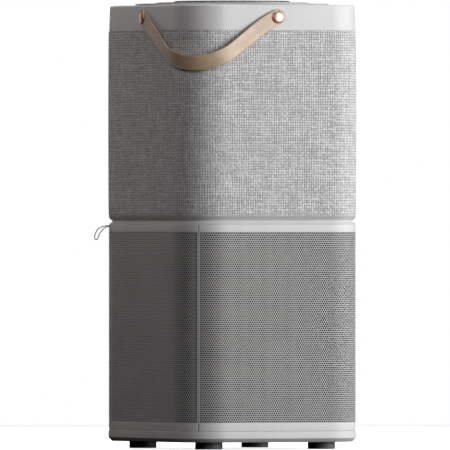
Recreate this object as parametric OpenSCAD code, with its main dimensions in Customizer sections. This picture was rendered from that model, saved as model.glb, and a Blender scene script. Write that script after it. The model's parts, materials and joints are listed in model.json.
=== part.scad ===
// Tower air purifier: perforated intake with a swing door and a round filter below,
// fabric-covered fan housing above, stepped round outlet grille and a leather carrying strap.
// Millimetres. Z up, origin on the floor under the middle of the body.
// The door is the -X side; the strap goes round the corner between the -X and -Y faces.

/* [Body] */
// Width across the faces with no door, along X
body_w = 262; // [215:1:315]
// Depth across the door face, along Y
body_d = 288; // [235:1:350]
// Radius of the upright corners
corner_r = 54; // [44:1:64]
// Height of the perforated intake, from the base to the waist
intake_h = 271.7; // [225:0.1:330]
// Height of the fabric-covered housing
fabric_h = 246.4; // [200:0.1:300]
// Height of the top band
band_h = 34; // [28:0.5:42]
// Rise of the stepped grille above the top band
grille_rise = 6; // [4:0.5:8]

/* [Base and feet] */
// Height of a foot
foot_h = 9.4; // [6:0.1:14]
// Radius of a foot
foot_r = 18; // [14:0.5:22]
// Distance of a foot's centre from the side faces
foot_inset_x = 48.6; // [40:0.1:58]
// Distance of a foot's centre from the front and back faces
foot_inset_y = 44.4; // [36:0.1:54]
// Height of the base tray, under the intake
base_h = 14.3; // [12:0.1:18]
// How far the base tray stands proud of the shells
base_proud = 0.8; // [0:0.1:2]
// Width of the chamfer under the base tray
base_chamfer = 5; // [3:0.5:8]

/* [Shells] */
// Wall of the intake shell and door skin
skin_wall = 2.5; // [1.5:0.1:3.5]
// Wall of the moulded housings
wall = 3; // [2:0.1:4]
// Gap between shells that meet
seam_gap = 0.6; // [0.4:0.1:1]
// Height of the grooved waist
waist_h = 8.3; // [7:0.1:12]
// Depth of the groove in the waist
groove_depth = 5; // [3:0.5:7]
// Thickness of the fabric sleeve
fabric_t = 1.2; // [0.8:0.1:2]
// Height of the smooth hem under the fabric
hem_h = 2.6; // [1.5:0.1:5]

/* [Door] */
// Direction of the hinge about the near corner's centre, degrees
hinge_polar = 215; // [205:1:220]
// Direction of the far seam about the back corner's centre, degrees
seam_polar = 131; // [125:1:145]
// Depth of the hinge axis behind the skin
hinge_inset = 10; // [9:0.5:12]
// Radius of the rounded edge that turns about the hinge
knuckle_r = 15; // [13:0.5:18]
// Radius of a hinge pin
pin_r = 2; // [1.5:0.1:3]
// Radial clearance of a hinge pin in its bore
pin_clear = 0.05; // [0.02:0.01:0.1]
// Depth of the door's rails behind the skin
rail_depth = 14; // [12:0.5:18]
// Width of the pull loop
loop_w = 9; // [6:0.5:14]
// Thickness of the pull loop's band
loop_t = 1.2; // [1:0.1:2]

/* [Filter] */
// Air gap between the filter and the outside of the shell
filter_gap = 29; // [28:0.5:36]
// Thickness of the pleated media
media_t = 34; // [24:1:44]
// Thickness of the carbon lining
carbon_t = 5; // [3:0.5:8]
// Thickness of the mesh round the media
mesh_t = 0.8; // [0.5:0.1:1.5]
// Height of a filter end cap
cap_h = 8; // [6:0.5:12]
// Height of the foam seal
seal_h = 4; // [3:0.5:6]
// Clearance under and over the filter
filter_clear = 0.5; // [0.3:0.1:1]

/* [Fan] */
// Radius of the fan's inlet
inlet_r = 70; // [58:1:76]
// Radial clearance round the impeller
tip_clear = 4; // [2:0.5:8]
// Number of impeller blades
blades = 9; // [7:1:13]
// Height of the impeller
impeller_h = 66; // [50:1:80]
// Radius of the motor's shell
motor_r = 40; // [34:1:46]
// Radius of the shaft
shaft_r = 4; // [3:0.5:5]
// Radial clearance of the shaft in its bearings
shaft_clear = 0.03; // [0.02:0.01:0.06]
// Number of guide vanes over the impeller
vanes = 11; // [7:2:15]

/* [Top] */
// Flat margin between the grille and the nearest face
grille_margin = 9; // [7:0.5:16]
// Number of fins in the grille
fins = 36; // [24:2:48]
// Radius of the control hub
hub_r = 30; // [26:1:40]
// Radius of the button
button_r = 13; // [9:0.5:16]
// Radial clearance of the button
button_clear = 0.3; // [0.2:0.1:0.6]

/* [Handle] */
// Height of the rivets below the band's top edge
rivet_drop = 16.4; // [12:0.1:20]
// Place of the rivet on the door side, along Y
rivet_a_y = -3; // [-14:1:14]
// Place of the rivet on the next side, along X
rivet_b_x = -5; // [-14:1:10]
// Radius of a rivet's head
rivet_r = 8.25; // [6:0.25:9]
// Width of the strap
strap_w = 20; // [16:0.5:24]
// Thickness of the strap
strap_t = 2.5; // [2:0.1:4]
// How far the strap sags under its rivets
strap_sag = 60.3; // [40:0.1:70]
// How far the strap stands off the corner
strap_off = 8; // [5:0.5:14]
// Length of strap that stays still at each rivet
strap_fixed = 56; // [50:1:62]

/* [Hidden] */
$fn = 96;
ARC_STEPS = 12;
JOIN = 0.01;

// Levels, from the floor up
base_z = foot_h;
intake_z = base_z + base_h;
waist_z = intake_z + intake_h;
fabric_z = waist_z + waist_h;
band_z = fabric_z + fabric_h;
band_top = band_z + band_h;
apex_z = band_top + grille_rise;
rivet_z = band_top - rivet_drop;

// Half sizes and the centres of the two corners that the door reaches
half_w = body_w / 2;
half_d = body_d / 2;
half_min = min(half_w, half_d);
near_corner = [-half_w + corner_r, -half_d + corner_r];
back_corner = [-half_w + corner_r, half_d - corner_r];
hinge_xy = near_corner + (corner_r - hinge_inset) * [cos(hinge_polar), sin(hinge_polar)];

// Filter, fan and top sizes that follow the body
post_r = 7;
post_gap = 6;
post_head_r = 3.5;
post_head_gap = 1;
rim_depth = rail_depth + 1;
filter_r = min(half_min - filter_gap,
    half_d - rim_depth - post_head_gap - post_head_r - post_r - post_gap);
media_r = filter_r - mesh_t - 1;
core_r = media_r - media_t;
floor_z = base_z + wall;
filter_z = intake_z + 1 + filter_clear;
filter_top = waist_z - filter_clear;
post_inset = 46;
post_x = half_w - post_inset;
post_y = filter_r + post_gap + post_r;
duct_r = filter_r;
impeller_r = duct_r - tip_clear;
plate_top = waist_z + wall;
impeller_gap = 14;
impeller_z = fabric_z + impeller_gap;
pod_gap = 12;
pod_z = impeller_z + impeller_h + pod_gap;
pod_h = 44;
bearing_r = 11;
bearing_h = 7;
pod_r = motor_r + wall;
grille_r = half_min - grille_margin;
mouth_r = grille_r - 4;
cover_z = band_top - 3.5;
hub_z = cover_z - 12;
button_travel = 1;
band_skin = 4;
rim_lip = 5.5;
step_r = [hub_r + 0.76 * (grille_r - hub_r), hub_r + 0.5 * (grille_r - hub_r)];
step_z = [band_top + 0.36 * grille_rise, band_top + 0.66 * grille_rise];

// Outline of the body, drawn in by an inset, as a list of points
function outline(inset) =
    let (r = corner_r - inset, x = half_w - corner_r, y = half_d - corner_r)
    [for (q = [0:3], i = [0:ARC_STEPS])
        let (a = 90 * (q + i / ARC_STEPS), sx = (q == 0 || q == 3) ? 1 : -1, sy = q < 2 ? 1 : -1)
        [sx * x + r * cos(a), sy * y + r * sin(a)]];

module plan(inset) polygon(outline(inset));

// A straight slab of the body's outline
module slab(inset, z0, z1) translate([0, 0, z0]) linear_extrude(z1 - z0) plan(inset);

// A straight wall that follows the body's outline
module wall_ring(inset, t, z0, z1)
    translate([0, 0, z0]) linear_extrude(z1 - z0) difference() {
        plan(inset);
        plan(inset + t);
    }

// A solid that passes through the body's outline at each [height, inset]
module loft(levels) {
    count = 4 * (ARC_STEPS + 1);
    last = len(levels) - 1;
    points = [for (level = levels) for (p = outline(level[1])) [p[0], p[1], level[0]]];
    sides = [for (k = [0:last - 1], i = [0:count - 1])
        let (j = (i + 1) % count)
        [k * count + i, (k + 1) * count + i, (k + 1) * count + j, k * count + j]];
    bottom = [for (i = [0:count - 1]) i];
    top = [for (i = [count - 1:-1:0]) last * count + i];
    polyhedron(points, concat(sides, [bottom, top]), convexity = 4);
}

module tube(r_out, r_in, z0, z1) translate([0, 0, z0]) difference() {
    cylinder(r = r_out, h = z1 - z0);
    translate([0, 0, -1]) cylinder(r = r_in, h = z1 - z0 + 2);
}

module rod(r, z0, z1) translate([0, 0, z0]) cylinder(r = r, h = z1 - z0);

module box_at(x, y, z) translate([x[0], y[0], z[0]])
    cube([x[1] - x[0], y[1] - y[0], z[1] - z[0]]);

module at_four(x, y) for (sx = [-1, 1], sy = [-1, 1]) translate([sx * x, sy * y, 0]) children();

module at_feet() at_four(half_w - foot_inset_x, half_d - foot_inset_y) children();

module at_posts() at_four(post_x, post_y) children();

module at_hinge() translate([hinge_xy[0], hinge_xy[1], 0]) children();

// The part of the plan that belongs to the door, grown by a gap
module door_plan(gap) {
    reach = 3 * corner_r;
    near_ray = reach * [cos(hinge_polar), sin(hinge_polar)];
    far_ray = reach * [cos(seam_polar), sin(seam_polar)];
    shift = gap * [sin(seam_polar), -cos(seam_polar)];
    polygon([
        near_corner, near_corner + near_ray,
        back_corner + far_ray + shift, back_corner + shift
    ]);
    translate(hinge_xy) circle(r = knuckle_r + gap);
}

// A band behind the door's skin, between two depths and two heights
module door_band(depth, t, z0, z1)
    translate([0, 0, z0]) linear_extrude(z1 - z0) intersection() {
        difference() {
            plan(depth);
            plan(depth + t);
        }
        door_plan(0);
    }

// ---- Base ----

module feet() color("#4a4846") at_feet() difference() {
    rod(foot_r, 0, foot_h);
    rod(4.5, -1, 4);
    rod(1.9, -1, foot_h + 1);
}

module foot_screws() color("silver") at_feet() {
    rod(3.8, 1.4, 4);
    rod(1.5, 4 - JOIN, foot_h + 9);
}

module base_tray() color("#b9b4ae") {
    rim_top = intake_z - seam_gap / 2;
    difference() {
        union() {
            difference() {
                loft([
                    [base_z, base_chamfer - base_proud],
                    [base_z + base_chamfer, -base_proud],
                    [rim_top, -base_proud]
                ]);
                slab(wall + 1, floor_z, rim_top + 1);
            }
            at_feet() rod(5, floor_z - JOIN, floor_z + 7);
            at_hinge() rod(6, floor_z - JOIN, rim_top);
        }
        at_feet() rod(1.6, base_z - 1, floor_z + 8);
        at_hinge() rod(pin_r + pin_clear, floor_z + 1, rim_top + 1);
    }
}

module filter_rails() color("#8f8b86")
    for (side = [-1, 1]) {
        y = side * filter_r / 2;
        box_at([-filter_r + 14, filter_r - 14], [y - 3, y + 3], [floor_z, filter_z - filter_clear]);
    }

module corner_posts() color("#a09b95") at_posts() difference() {
    rod(post_r, floor_z, waist_z);
    rod(1.7, waist_z - 16, waist_z + 1);
}

module post_screws() color("silver") at_posts() {
    rod(post_head_r, plate_top, plate_top + 2.4);
    rod(1.6, waist_z - 12, plate_top + JOIN);
}

// ---- Intake ----

socket_z = intake_z + 30;

module intake_shell() color("#c9c5bf") {
    z0 = intake_z + seam_gap / 2;
    z1 = waist_z - seam_gap / 2;
    difference() {
        translate([0, 0, z0]) linear_extrude(z1 - z0) difference() {
            plan(0);
            plan(skin_wall);
            door_plan(seam_gap);
        }
        box_at([half_w - 10, half_w + 10], [-14.2, 14.2], [socket_z - 10.2, socket_z + 10.2]);
    }
}

// Two-pole appliance inlet in the wall across from the door
module mains_inlet() color("#3a3836") {
    x1 = half_w + 0.5;
    difference() {
        union() {
            box_at([x1 - 20, x1], [-14, 14], [socket_z - 10, socket_z + 10]);
            box_at([half_w - skin_wall - 2, half_w - skin_wall], [-19, 19],
                [socket_z - 14, socket_z + 14]);
        }
        for (side = [-1, 1]) translate([x1 - 12, side * 4.3, socket_z])
            rotate([0, 90, 0]) cylinder(r = 3.9, h = 13);
        box_at([x1 - 12, x1 + 1], [-4.3, 4.3], [socket_z - 3.9, socket_z + 3.9]);
    }
}

module inlet_contacts() color("silver")
    for (side = [-1, 1]) translate([half_w - 11.5, side * 4.3, socket_z])
        rotate([0, 90, 0]) cylinder(r = 1.2, h = 10);

// ---- Waist ----

module waist_frame() color("#b9b4ae") {
    difference() {
        loft([
            [waist_z, 0.3],
            [waist_z + 3.1, groove_depth],
            [fabric_z - 3.1, groove_depth],
            [fabric_z, 0.5]
        ]);
        slab(rim_depth, plate_top, fabric_z + 1);
        rod(inlet_r, waist_z - 1, plate_top + 1);
        at_hinge() rod(pin_r + pin_clear, waist_z - 1, waist_z + 6);
        at_posts() rod(1.9, waist_z - 1, plate_top + 1);
        at_magnets() box_at([-6.1, 6.1], [-4.1, 4.1], [waist_z - 1, waist_z + 1]);
    }
}

module inlet_ring() color("#8f8b86") translate([0, 0, plate_top]) rotate_extrude()
    polygon([
        [inlet_r, 0], [inlet_r + 9, 0], [inlet_r + 9, 2], [inlet_r + 2.5, 2],
        [inlet_r - 1, 16], [inlet_r - 3, 16], [inlet_r, 6]
    ]);

// ---- Upper housing ----

housing_inset = 0.5;

module upper_housing() color("#a5a19c") {
    floor_t = 2.5;
    difference() {
        slab(housing_inset, fabric_z, band_z);
        slab(housing_inset + wall, fabric_z + floor_t, band_z + 1);
        slab(rail_depth + 6, fabric_z - 1, fabric_z + 3);
    }
}

module fabric_cover() color("#cfcdca")
    wall_ring(housing_inset - fabric_t, fabric_t, fabric_z + hem_h, band_z - 0.2);

module hem_strip() color("#e2dfdb")
    wall_ring(housing_inset - 0.9, 0.9, fabric_z + 0.2, fabric_z + hem_h);

module fan_duct() color("#8f8b86") rotate_extrude() polygon([
    [duct_r, plate_top], [duct_r + 8, plate_top], [duct_r + 8, plate_top + 2],
    [duct_r + 2.2, plate_top + 2], [duct_r + 2.2, pod_z + 60],
    [mouth_r + 2.2, cover_z - 14], [mouth_r + 2.2, cover_z - 0.5],
    [mouth_r, cover_z - 0.5], [mouth_r, cover_z - 14], [duct_r, pod_z + 60]
]);

// Motor pod with guide vanes that reach the duct
module diffuser() color("#77736e") {
    difference() {
        union() {
            rod(pod_r, pod_z, pod_z + pod_h);
            intersection() {
                rod(duct_r - 0.1, pod_z, pod_z + pod_h);
                for (k = [0:vanes - 1]) rotate(360 * k / vanes)
                    translate([0, 0, pod_z + 4]) linear_extrude(pod_h - 8)
                        curved_blade(pod_r - 1, duct_r + 1, 22, 2);
            }
        }
        rod(motor_r, pod_z + bearing_h + 1, pod_z + pod_h + 1);
        rod(bearing_r, pod_z + 1, pod_z + pod_h);
        rod(shaft_r + 1.5, pod_z - 1, pod_z + 2);
    }
}

// A strip of constant thickness that sweeps round by an angle between two radii
module curved_blade(r0, r1, sweep, t) {
    steps = 10;
    function spine(u) = let (r = r0 + (r1 - r0) * u, a = sweep * u * u) [r * cos(a), r * sin(a)];
    function side(u, offset) =
        let (along = unit(spine(u + 0.01) - spine(u - 0.01)))
        spine(u) + offset * [-along[1], along[0]];
    polygon(concat(
        [for (i = [0:steps]) side(i / steps, -t / 2)],
        [for (i = [steps:-1:0]) side(i / steps, t / 2)]
    ));
}

rotor_z = pod_z + bearing_h + 4;
rotor_h = 26;

module motor_stator() color("#a8703c") tube(motor_r - 0.2, 24, rotor_z, rotor_z + rotor_h);

module motor_cap() color("#8f8b86") {
    z0 = pod_z + pod_h;
    difference() {
        union() {
            rod(pod_r, z0, z0 + 3);
            rod(motor_r - 0.3, z0 - 3, z0);
            rod(bearing_r + 3, z0, z0 + bearing_h + 2);
        }
        rod(bearing_r, z0 - 4, z0 + bearing_h);
        rod(shaft_r + 1.5, z0 - 4, z0 + bearing_h + 1);
    }
}

module bearings() color("silver") {
    tube(bearing_r, shaft_r, pod_z + 1, pod_z + 1 + bearing_h);
    tube(bearing_r, shaft_r, pod_z + pod_h, pod_z + pod_h + bearing_h);
}

// ---- Electronics, in the corners round the duct ----

// Places a child against the duct, turned towards a corner
module in_corner(angle, distance) rotate(angle) translate([distance, 0, 0]) children();

corner_angle = atan2(half_d - corner_r, half_w - corner_r);
clear_of_duct = duct_r + 10;

module main_board() color("#2f6b45") in_corner(corner_angle, clear_of_duct) {
    box_at([0, 1.6], [-38, 38], [fabric_z + 20, fabric_z + 150]);
    box_at([1.6, 14], [-20, 16], [fabric_z + 40, fabric_z + 66]);
    box_at([1.6, 8], [-30, -8], [fabric_z + 90, fabric_z + 112]);
    for (side = [-1, 1]) translate([1.6 - JOIN, side * 16, fabric_z + 130])
        rotate([0, 90, 0]) cylinder(r = 6, h = 16);
}

module power_supply() color("#6f6c68") in_corner(-corner_angle, clear_of_duct)
    box_at([0, 28], [-27, 27], [fabric_z + 14, fabric_z + 104]);

module particle_sensor() color("#2f2e2d") in_corner(180 - corner_angle, clear_of_duct)
    difference() {
        box_at([0, 20], [-20, 20], [fabric_z + 14, fabric_z + 60]);
        translate([10, 0, fabric_z + 40]) cylinder(r = 5, h = 21);
    }

module door_sensor() color("#2f2e2d") at_magnets_one(1)
    box_at([-9, 9], [9, 15], [plate_top, plate_top + 5]);

// ---- Door catch ----

magnet_polar = [145, 167];

module at_magnets_one(k) translate([back_corner[0], back_corner[1], 0])
    rotate(magnet_polar[k]) translate([corner_r - 9, 0, 0]) rotate(90) children();

module at_magnets() for (k = [0, 1]) at_magnets_one(k) children();

module strike_plates() color("silver") at_magnets()
    box_at([-6, 6], [-4, 4], [waist_z, waist_z + 1]);

module door_magnets() color("#55524f") at_magnets() rod(3.5, door_top - 3, door_top);

// ---- Top ----

module top_ring() color("#d2cfca") {
    difference() {
        loft([
            [band_z, 0.2],
            [band_top - 2, 1.4],
            [band_top - 0.5, 1.9],
            [band_top, 3]
        ]);
        slab(band_skin + 1.4, band_z - 1, band_top + 1);
        at_rivets() translate([0, 0, -20]) cylinder(r = 2.5, h = 40);
    }
}

module top_cover() color("#8a8783") difference() {
    union() {
        slab(band_skin + 1.6, cover_z, band_top - 0.4);
        tube(mouth_r + 6, mouth_r + 2.6, cover_z - 6, cover_z + 1);
    }
    rod(grille_r + 0.4, cover_z - 0.01, apex_z);
    rod(mouth_r + 2.5, cover_z - 7, apex_z);
}

// The stepped outline of the grille's top
module stepped_blank() rotate_extrude() polygon([
    [0, hub_z], [grille_r, hub_z], [grille_r, step_z[0]], [step_r[0], step_z[0]],
    [step_r[0], step_z[1]], [step_r[1], step_z[1]], [step_r[1], apex_z], [0, apex_z]
]);

module outlet_grille() color("#8a8783") {
    intersection() {
        stepped_blank();
        difference() {
            union() {
                tube(grille_r, grille_r - 5, cover_z, apex_z);
                tube(hub_r + 3, hub_r + 0.3, cover_z - 4, apex_z);
                for (r = step_r) tube(r, r - 2, cover_z + 0.1, apex_z);
                for (k = [0:fins - 1]) rotate(360 * k / fins)
                    translate([0, 0, cover_z + 0.1]) linear_extrude(grille_rise + 4)
                        curved_blade(hub_r + 2, grille_r - 3, 38, 2);
            }
            tube(grille_r + 1, mouth_r, cover_z - 1, cover_z + 0.01);
        }
    }
    tube(grille_r + rim_lip, grille_r - 1, band_top + 0.1, step_z[0]);
}

module control_hub() color("#2f2e2d") difference() {
    rod(hub_r, hub_z, apex_z - 0.1);
    rod(hub_r - 2.5, hub_z - 1, apex_z - 3.5);
    rod(button_r + button_clear, hub_z, apex_z + 1);
}

module power_button() color("#d2cfca") {
    rod(button_r, apex_z - 5, apex_z);
    rod(button_r + 2, apex_z - 6, apex_z - 4.8);
    rod(2, apex_z - 9, apex_z - 5.9);
}

module display_board() color("#2f6b45") rod(hub_r - 2.8, hub_z + 0.5, hub_z + 2.1);

module key_switch() color("silver")
    box_at([-3, 3], [-3, 3], [hub_z + 2.1, apex_z - 9 - button_travel - 0.2]);

// ---- Carrying strap ----

// Length of the route along the door side, round the corner and along the next side
route_a = rivet_a_y + half_d - corner_r;
route_b = corner_r * PI / 2;
route_c = half_w - corner_r + rivet_b_x;
route_len = route_a + route_b + route_c;

// Direction away from the body at a distance along the route
function outward(s) =
    s < route_a ? [-1, 0]
    : s > route_a + route_b ? [0, -1]
    : let (a = 180 + 90 * (s - route_a) / route_b) [cos(a), sin(a)];

// Point on the body's face at a distance along the route
function face_point(s) =
    s < route_a ? [-half_w, rivet_a_y - s]
    : s > route_a + route_b ? [near_corner[0] + s - route_a - route_b, -half_d]
    : near_corner + corner_r * outward(s);

// Share of the sag at a share of the leg on the door side: straight, then rounded
function straight_leg(t) =
    let (bend = 0.3, m = 1 / (1 - bend / 2))
    t < 1 - bend ? m * t : m * (t - pow(t - 1 + bend, 2) / (2 * bend));

// The same for the leg on the next side, which curves all the way
function curved_leg(t) = t < 0 ? t * PI / 4 : (1 - cos(180 * t)) / 4 + sin(90 * t) / 2;

function strap_drop(s) =
    let (low = route_len * 0.535)
    strap_sag * (s < low ? straight_leg(s / low) : curved_leg((route_len - s) / (route_len - low)));

function strap_stand(s) =
    let (u = min(max(s / route_len, 0), 1))
    strap_t / 2 + 0.1 + strap_off * pow(sin(180 * u), 1.5);

function strap_point(s) =
    let (p = face_point(s) + strap_stand(s) * outward(s))
    [p[0], p[1], rivet_z - strap_drop(s)];

function unit(v) = v / norm(v);

// Four corners of the strap's section, its upper edge leaning out
function strap_ring(s) =
    let (
        along = unit(strap_point(s + 1) - strap_point(s - 1)),
        out = [outward(s)[0], outward(s)[1], 0],
        n = unit(out - (out * along) * along),
        up = cross(n, along),
        lean = 10 * pow(sin(180 * min(max(s / route_len, 0), 1)), 2),
        across = up * cos(lean) + n * sin(lean),
        thick = n * cos(lean) - up * sin(lean)
    )
    [for (c = [[-1, -1], [1, -1], [1, 1], [-1, 1]])
        strap_point(s) + across * c[0] * strap_w / 2 + thick * c[1] * strap_t / 2];

module strap_piece(s0, s1) {
    steps = ceil((s1 - s0) / 5);
    rings = [for (i = [0:steps]) strap_ring(s0 + (s1 - s0) * i / steps)];
    points = [for (ring = rings) for (p = ring) p];
    sides = [for (i = [0:steps - 1], k = [0:3])
        let (j = (k + 1) % 4)
        [4 * i + k, 4 * i + j, 4 * i + 4 + j, 4 * i + 4 + k]];
    polyhedron(points, concat(sides, [[3, 2, 1, 0], [for (k = [0:3]) 4 * steps + k]]));
}

// Places a child at each rivet, its Z axis pointing away from the body
module at_rivets() {
    translate([-half_w, rivet_a_y, rivet_z]) rotate([0, -90, 0]) children();
    translate([rivet_b_x, -half_d, rivet_z]) rotate([90, 0, 0]) children();
}

strap_end = 11;

module strap_ends() color("#b58a64") difference() {
    union() {
        strap_piece(-strap_end, strap_fixed);
        strap_piece(route_len - strap_fixed, route_len + strap_end);
    }
    at_rivets() translate([0, 0, -5]) cylinder(r = 2.6, h = 20);
}

module handle_strap() color("#b58a64")
    strap_piece(strap_fixed + 4, route_len - strap_fixed - 4);

module rivets() color("#b97a5e") {
    head_h = 2.6;
    cap_r = (pow(rivet_r, 2) + pow(head_h, 2)) / (2 * head_h);
    seat = strap_t + 0.4;
    at_rivets() {
        intersection() {
            translate([0, 0, seat + head_h - cap_r]) sphere(r = cap_r);
            translate([0, 0, seat]) cylinder(r = rivet_r, h = head_h + 1);
        }
        translate([0, 0, -band_skin - 5]) cylinder(r = 2.3, h = seat + band_skin + 5.5);
    }
}

module rivet_plates() color("silver") at_rivets()
    translate([0, 0, -band_skin - 3.2]) difference() {
        cylinder(r = 7, h = 1.5);
        translate([0, 0, -1]) cylinder(r = 2.4, h = 4);
    }

// ---- Door ----

door_bottom = intake_z + seam_gap / 2;
door_top = waist_z - seam_gap / 2;
rail_h = 8;

module door_skin() color("#a8a49f") door_band(0, skin_wall, door_bottom, door_top);

module door_frame() color("#8f8b86") difference() {
    union() {
        for (z = [door_bottom, door_top - rail_h])
            door_band(skin_wall, rail_depth - skin_wall, z, z + rail_h);
        intersection() {
            door_band(skin_wall, 4, door_bottom, door_top);
            union() {
                at_hinge() rod(knuckle_r - 2, door_bottom, door_top);
                translate([back_corner[0], back_corner[1], 0]) rotate(seam_polar)
                    box_at([0, 3 * corner_r], [0, 12], [door_bottom, door_top]);
            }
        }
    }
    at_hinge() rod(pin_r, door_bottom - 1, door_bottom + rail_h + 1);
    at_hinge() rod(pin_r, door_top - rail_h - 1, door_top + 1);
    at_magnets() rod(3.5, door_top - 3, door_top + 1);
}

module hinge_pins() color("silver") at_hinge() {
    rod(pin_r, floor_z + 3, door_bottom + rail_h);
    rod(pin_r, door_top - rail_h, waist_z + 5);
}

loop_polar = 154;
loop_reach = 16.8;
loop_fall = 18;
loop_gap = 5.2;
loop_start = 1.8;

module at_loop() translate([back_corner[0], back_corner[1], 0])
    rotate(loop_polar) translate([corner_r, 0, 0]) children();

// Middle line between the loop's two strands, which droops away from the door
function loop_spine(u) =
    [loop_reach * sin(90 * u), door_top - loop_start - loop_fall * (1 - cos(90 * u))];

// Half the loop's height at a share of its spine, with a round end
function loop_half(u, extra, end) =
    (loop_gap / 2 * min(1, 2 * u) + extra) * sqrt(max(0, 1 - pow(max(0, (u - end) / 0.15 + 1), 2)));

function loop_side(u, extra, end, side) =
    let (along = unit(loop_spine(u + 0.01) - loop_spine(u - 0.01)))
    loop_spine(u) + side * loop_half(u, extra, end) * [-along[1], along[0]];

module loop_outline(extra, begin, end) {
    steps = 16;
    spots = [for (i = [0:steps]) begin + (end - begin) * sin(90 * i / steps)];
    polygon(concat(
        [for (i = [0:steps]) loop_side(spots[i], extra, end, 1)],
        [for (i = [steps - 1:-1:0]) loop_side(spots[i], extra, end, -1)]
    ));
}

// A tape folded into a drooping loop that leaves the door near its top edge
module pull_loop() color("#b9b4ae") at_loop() difference() {
    rotate([90, 0, 0]) linear_extrude(loop_w, center = true) difference() {
        loop_outline(loop_t / 2, 0, 1);
        loop_outline(-loop_t / 2, (loop_t / 2 + 0.1) / loop_gap, 0.95);
    }
    box_at([-20, 0.3], [-20, 20], [door_top - 60, door_top + 5]);
}

module loop_clip() color("#77736e") at_loop()
    box_at([-rail_depth - 3.5, -rail_depth - 0.5], [-6, 6], [door_top - rail_h, door_top]);

// ---- Filter ----

module filter_media() color("#ece9e2")
    tube(media_r, core_r, filter_z + cap_h, filter_top - seal_h - cap_h);

module carbon_lining() color("#3b3a39")
    tube(core_r, core_r - carbon_t, filter_z + cap_h, filter_top - seal_h - cap_h);

module prefilter_mesh() color("#b9b7b3")
    tube(media_r + mesh_t, media_r, filter_z + cap_h, filter_top - seal_h - cap_h);

module filter_cap_bottom() color("#4c4a48") difference() {
    rod(filter_r, filter_z, filter_z + cap_h);
    rod(core_r - carbon_t - 6, filter_z + 3, filter_z + cap_h + 1);
}

module filter_cap_top() color("#4c4a48")
    tube(filter_r, core_r - carbon_t, filter_top - seal_h - cap_h, filter_top - seal_h);

module filter_seal() color("#6b6966")
    tube(inlet_r + 14, inlet_r + 4, filter_top - seal_h, filter_top);

// A tape that hangs flat against the filter's side
module filter_tab() color("#b9b4ae")
    box_at([-filter_r - 1.2, -filter_r], [-12, 12], [filter_z + 2, filter_z + 60]);

// ---- Rotating parts ----

module impeller() color("#e6e3de") {
    hub_top = impeller_z + impeller_h;
    difference() {
        union() {
            tube(impeller_r, inlet_r - 1, impeller_z + 4, impeller_z + 6);
            rod(impeller_r, hub_top - 3, hub_top);
            rod(12, hub_top - 24, hub_top + 4);
            for (k = [0:blades - 1]) rotate(360 * k / blades)
                translate([0, 0, impeller_z + 5]) linear_extrude(impeller_h - 6)
                    curved_blade(inlet_r - 14, impeller_r - 1.5, -34, 1.8);
        }
        rod(shaft_r - shaft_clear, impeller_z, hub_top + 5);
    }
}

module motor_shaft() color("silver")
    rod(shaft_r - shaft_clear, impeller_z + impeller_h - 20, pod_z + pod_h + bearing_h - 1);

module motor_rotor() color("#4c4a48")
    tube(23.4, shaft_r - shaft_clear, rotor_z, rotor_z + rotor_h);

feet();
foot_screws();
base_tray();
filter_rails();
corner_posts();
post_screws();
intake_shell();
mains_inlet();
inlet_contacts();
waist_frame();
inlet_ring();
upper_housing();
fabric_cover();
hem_strip();
fan_duct();
diffuser();
motor_stator();
motor_cap();
bearings();
main_board();
power_supply();
particle_sensor();
door_sensor();
strike_plates();
top_ring();
top_cover();
outlet_grille();
control_hub();
display_board();
key_switch();
rivets();
rivet_plates();
strap_ends();
door_skin();
door_frame();
hinge_pins();
door_magnets();
pull_loop();
loop_clip();
filter_media();
carbon_lining();
prefilter_mesh();
filter_cap_bottom();
filter_cap_top();
filter_seal();
filter_tab();
impeller();
motor_shaft();
motor_rotor();
handle_strap();
power_button();
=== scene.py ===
# %% [markdown]
# # A tower air purifier
# The object is a rounded square tower. The lower half is a perforated air intake with a swing
# door, the upper half is a fan housing under a woven sleeve, and a leather strap carries it.
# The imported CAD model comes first: it fixes every size and place, and the pieces made here
# either stand in for one of its nodes or give it a finish.

# %% Load the frame and keep its box
import json
import math

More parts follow.
